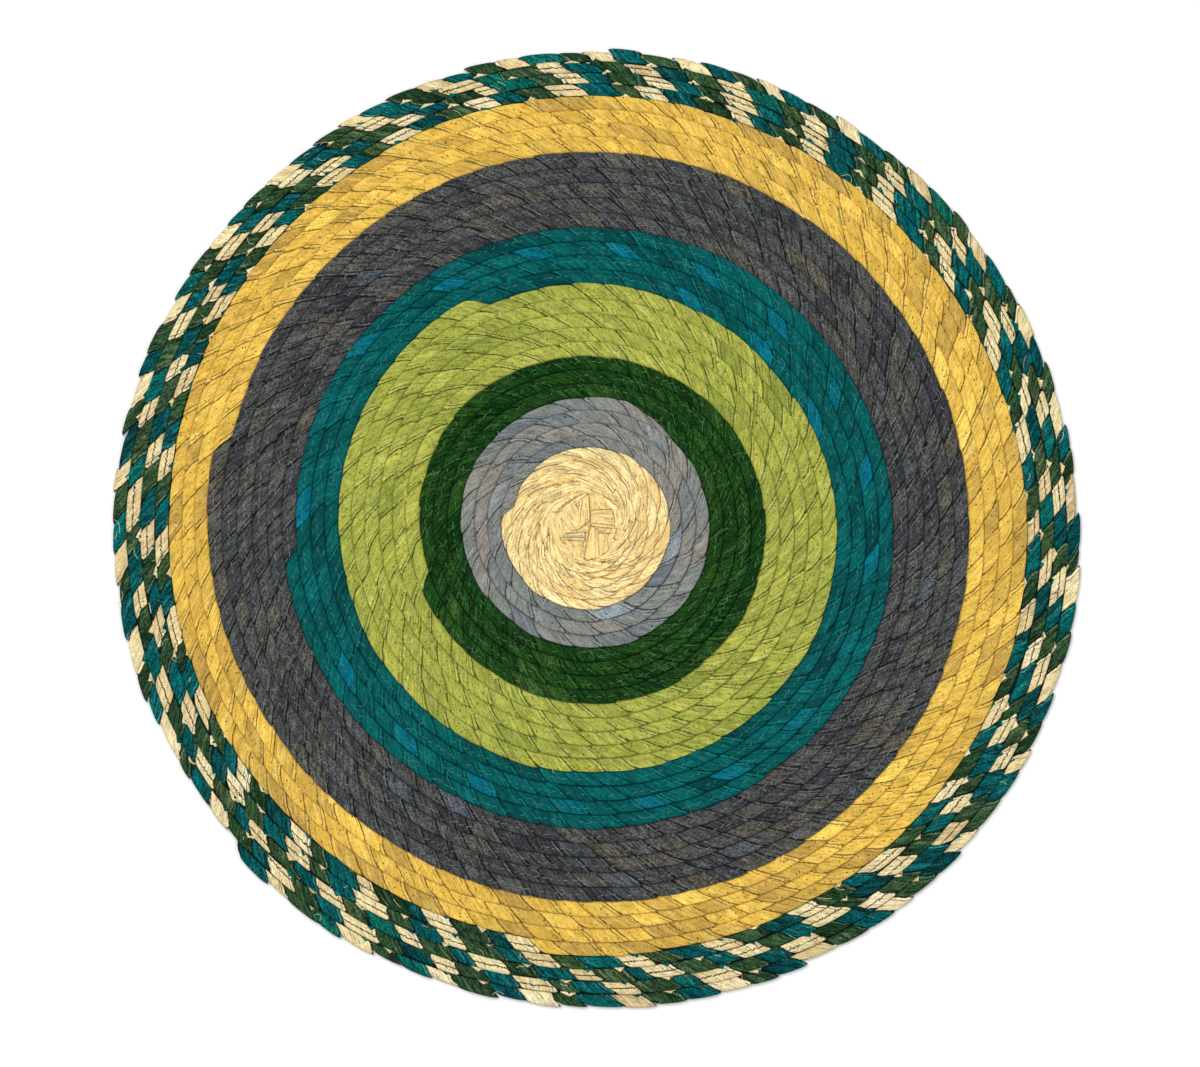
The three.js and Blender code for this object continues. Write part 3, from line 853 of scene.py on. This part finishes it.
# The folded start in the middle: short leaf ends laid over each other like a pinwheel, inside a
# rough pentagon of leaves folded along its rim.
knot = {
    "middle": (-5.1, 1.2),
    "level": 2.55,               # of the leaves' tops, before each one's own lift
    "underside": 0.42,
    "thickness": 0.8,
    "reach": 15.4,
    "bridges": 15,               # strips of the first turn that start under the knot's rim
    "bridgeFrom": (8, 1.8, 0.2),     # their length, width and tone, from the least
    "bridgeTo": (13, 3.4, 0.6),      # to the most
    # Each leaf by its corners, along the leaf from the first two to the last two. A rim leaf's
    # first and last corner are on its outer side, which follows the knot's round edge.
    "leaves": [
        {"corners": ((-19.6, 6.6), (-16.4, 5.0), (-4.9, 12.6), (-5.0, 16.4)),
         "lift": 0.05, "tone": 0.29, "rim": 1},
        {"corners": ((-5.6, 16.3), (-4.6, 13.4), (6.2, 6.8), (9.6, 7.6)),
         "lift": 0.16, "tone": 0.34, "rim": 1},
        {"corners": ((9.4, 9.0), (4.4, 8.2), (4.0, -3.0), (6.8, -7.6)),
         "lift": 0.0, "tone": 0.3, "rim": 1},
        {"corners": ((8.6, -4.6), (4.8, -3.2), (-2.0, -8.6), (-3.0, -13.8)),
         "lift": 0.1, "tone": 0.33, "rim": 1},
        {"corners": ((-1.0, -13.4), (-3.0, -9.0), (-14.6, -3.0), (-17.6, -7.6)),
         "lift": 0.02, "tone": 0.25, "rim": 1},
        {"corners": ((-16.2, -9.2), (-13.0, -3.6), (-15.8, 6.0), (-19.4, 7.0)),
         "lift": 0.12, "tone": 0.3, "rim": 1},
        {"corners": ((-12.0, -11.2), (-6.2, -12.6), (-6.4, -4.6), (-15.8, -4.2)),
         "lift": 0.1, "tone": 0.19},
        {"corners": ((-16.6, -4.2), (-14.2, -1.8), (-5.6, -0.8), (-5.8, -5.0)),
         "lift": 0.22, "tone": 0.05},
        {"corners": ((4.6, 8.0), (8.8, 9.2), (9.4, -0.6), (5.8, -0.6)), "lift": 0.14, "tone": 0.32},
        {"corners": ((5.2, 0.6), (8.6, 1.0), (7.4, -4.8), (3.8, -3.6)), "lift": 0.2, "tone": 0.18},
        {"corners": ((-16.4, 5.4), (-10.6, 11.8), (-5.0, 2.4), (-11.2, -1.2)),
         "lift": 0.2, "tone": 0.32},
        {"corners": ((-3.9, 1.2), (-3.9, 7.9), (4.9, 8.0), (6.8, -0.4)), "lift": 0.26, "tone": 0.2},
        {"corners": ((-7.8, 11.4), (-4.4, 14.6), (-3.7, 3.2), (-9.4, -1.0)), "lift": 0.34, "tone": 0.23},
        {"corners": ((-4.3, 14.5), (0.4, 14.2), (5.8, 7.7), (-3.9, 7.2)), "lift": 0.36, "tone": 0.19},
        {"corners": ((-1.0, -12.0), (5.0, -7.6), (5.6, -1.8), (-1.0, -1.2)), "lift": 0.3, "tone": 0.23},
        {"corners": ((-6.8, -12.8), (-0.5, -11.6), (-0.6, -0.4), (-3.9, 1.7)),
         "lift": 0.4, "tone": 0.26},
    ],
}


# One leaf of the knot: slightly domed, turned down along its edges and flat underneath.
def addPatch(gathered, flatPlaces, level, tone, seed, span, bold=0.75):
    columns, wide = flatPlaces.shape[:2]
    u = np.linspace(0, 1, columns)[:, None]
    w = np.linspace(0, 1, wide)[None, :]
    edge = np.maximum(np.abs(2 * u - 1) ** 10, np.abs(2 * w - 1) ** 8)
    ripple = 0.04 * np.sin(7 * w + seed) * np.sin(5 * u + seed)
    top = level + 0.16 * np.sin(np.pi * w) - 0.24 * edge + ripple
    upper = np.concatenate([flatPlaces, top[..., None]], axis=-1)
    bottom = np.full(top.shape + (1,), level - knot["thickness"])
    lower = np.concatenate([flatPlaces[:, ::-1], bottom], axis=-1)
    rings = np.concatenate([upper, lower[:, ::3]], axis=1)[None]
    place = np.concatenate([w[0], w[0][::-1][::3]])[None, None, :] + 0 * rings[..., 0]
    down = u[None] + 0 * place
    length, width = span
    fromEnds = np.minimum((1 - place) * width, np.minimum(down, 1 - down) * length)
    data = {
        "leafGrain": np.stack([down * length, place * width, seed + 0 * down], axis=-1),
        "leafEdge": np.stack([place * width, fromEnds, 0.5 + 0 * down], axis=-1) * [bold, bold, 1],
        "leafStitch": np.stack([rings[..., 0], rings[..., 1] - 2.2, seed + 0 * down], axis=-1),
        "leafTone": np.full((1, 1, 1, 1), tone),
    }
    gathered.addRings(rings, 0, data)


def addKnot(gathered, rng):
    u = np.linspace(0, 1, 9)[:, None, None]
    w = np.linspace(0, 1, 8)[None, :, None]
    middle = np.array(knot["middle"])
    # A plain bed closes what the leaves leave open between them.
    bed = {"corners": ((-20, -13), (-20, 16), (10, 16), (10, -13)), "lift": -0.4, "tone": 0.3}
    for underneath in (False, True):
        for i, leaf in enumerate([bed] + knot["leaves"]):
            first, second, third, fourth = (np.array(corner, float) for corner in leaf["corners"])
            turned = np.cross(fourth - first, second - first) < 0
            side = w
            if turned:
                first, second, third, fourth = second, first, fourth, third
                side = 1 - w
            places = (first * (1 - u) + fourth * u) * (1 - w) + (second * (1 - u) + third * u) * w
            fromMiddle = places - middle
            radius = np.linalg.norm(fromMiddle, axis=-1, keepdims=True)
            wanted = np.minimum(radius, knot["reach"])
            if "rim" in leaf:
                wanted = wanted + (knot["reach"] - wanted) * (1 - side) ** 2
            places = middle + fromMiddle * wanted / radius
            length = np.linalg.norm(fourth - first)
            width = np.linalg.norm(second + third - first - fourth) / 2
            level = knot["level"] + leaf["lift"]
            if underneath:
                level = knot["underside"] + knot["thickness"] - leaf["lift"]
            addPatch(gathered, places, level, leaf["tone"], 1.7 * i + 5, (length, width))
    for i in range(knot["bridges"]):
        long, broad, tone = rng.uniform(knot["bridgeFrom"], knot["bridgeTo"])
        a = tau * (i + rng.uniform(0, 0.5)) / knot["bridges"] + (u - 0.5) * long / knot["reach"]
        radius = knot["reach"] + rng.uniform(-0.4, 1.0) + 3.4 * (0.5 - u) + broad * (w - 0.5)
        places = middle + radius * np.concatenate([np.sin(a), np.cos(a)], axis=-1)
        level = knot["level"] + 0.1 + 0.02 * (i % 5)
        addPatch(gathered, places, level, tone, 2.3 * i, (long, broad), bold=1.3)
    print("knot of", len(knot["leaves"]), "leaves")


def buildPlait(plait, number):
    rng = np.random.default_rng(100 + number)
    count = layOut(plait, rng)
    onLastTurn = smooth(plait["end"] - 1.15, plait["end"] - 0.85, turnAt(plait["edges"][1:]))
    tones = rng.normal(0.45, 0.24, count) + plait.get("lastTurn", 0) * onLastTurn
    tones = np.clip(tones, plait.get("darkest", 0), 1)
    gathered = Gathered()
    if plait["name"] == "mixed":
        strands = np.arange(count) % 3
        materials = [leafMaterial(look["name"], look) for look in borderStrands]
        addStrips(gathered, plait, strands, (strands + 1) % 3, tones)
        addPeeks(gathered, plait, (strands + 1) % 3, rng)
    else:
        if "bluer" in plait:
            # The last tone is the blue one. One strand in three has it at the joint, and in shades of
            # its own for about a turn further on.
            fromJoint = plait["edges"][:-1] - plait["edges"][0]
            blue = np.arange(count) % 3 == 1
            blueness = 0.74 + 0.3 * tones
            tones = np.clip(tones, 0, 0.62)
            atJoint, onTurn = (blue & (fromJoint > low) & (fromJoint < high)
                               for low, high in plait["bluer"])
            tones[atJoint] = 0.9
            tones[onTurn] = blueness[onTurn]
        materials = [leafMaterial(plait["name"], plait)]
        addStrips(gathered, plait, 0, 0, tones)
        addPeeks(gathered, plait, [0], rng)
    if plait["name"] == "cream":
        addKnot(gathered, rng)
    if plait["stitch"] == "thread":
        addStitches(gathered, plait, len(materials), rng)
    addFibres(gathered, plait, len(materials), rng)
    materials.append(threadMaterial(plait["name"], plait["thread"]))
    piece = gathered.makePiece(plait["name"] + "_plait", materials)
    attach(piece, "root")
    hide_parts("plait_" + plait["name"])
    triangles = sum(len(polygon.vertices) - 2 for polygon in piece.data.polygons)
    return triangles


total = sum(buildPlait(plait, number) for number, plait in enumerate(plaits))
print("all plaits", total, "triangles")
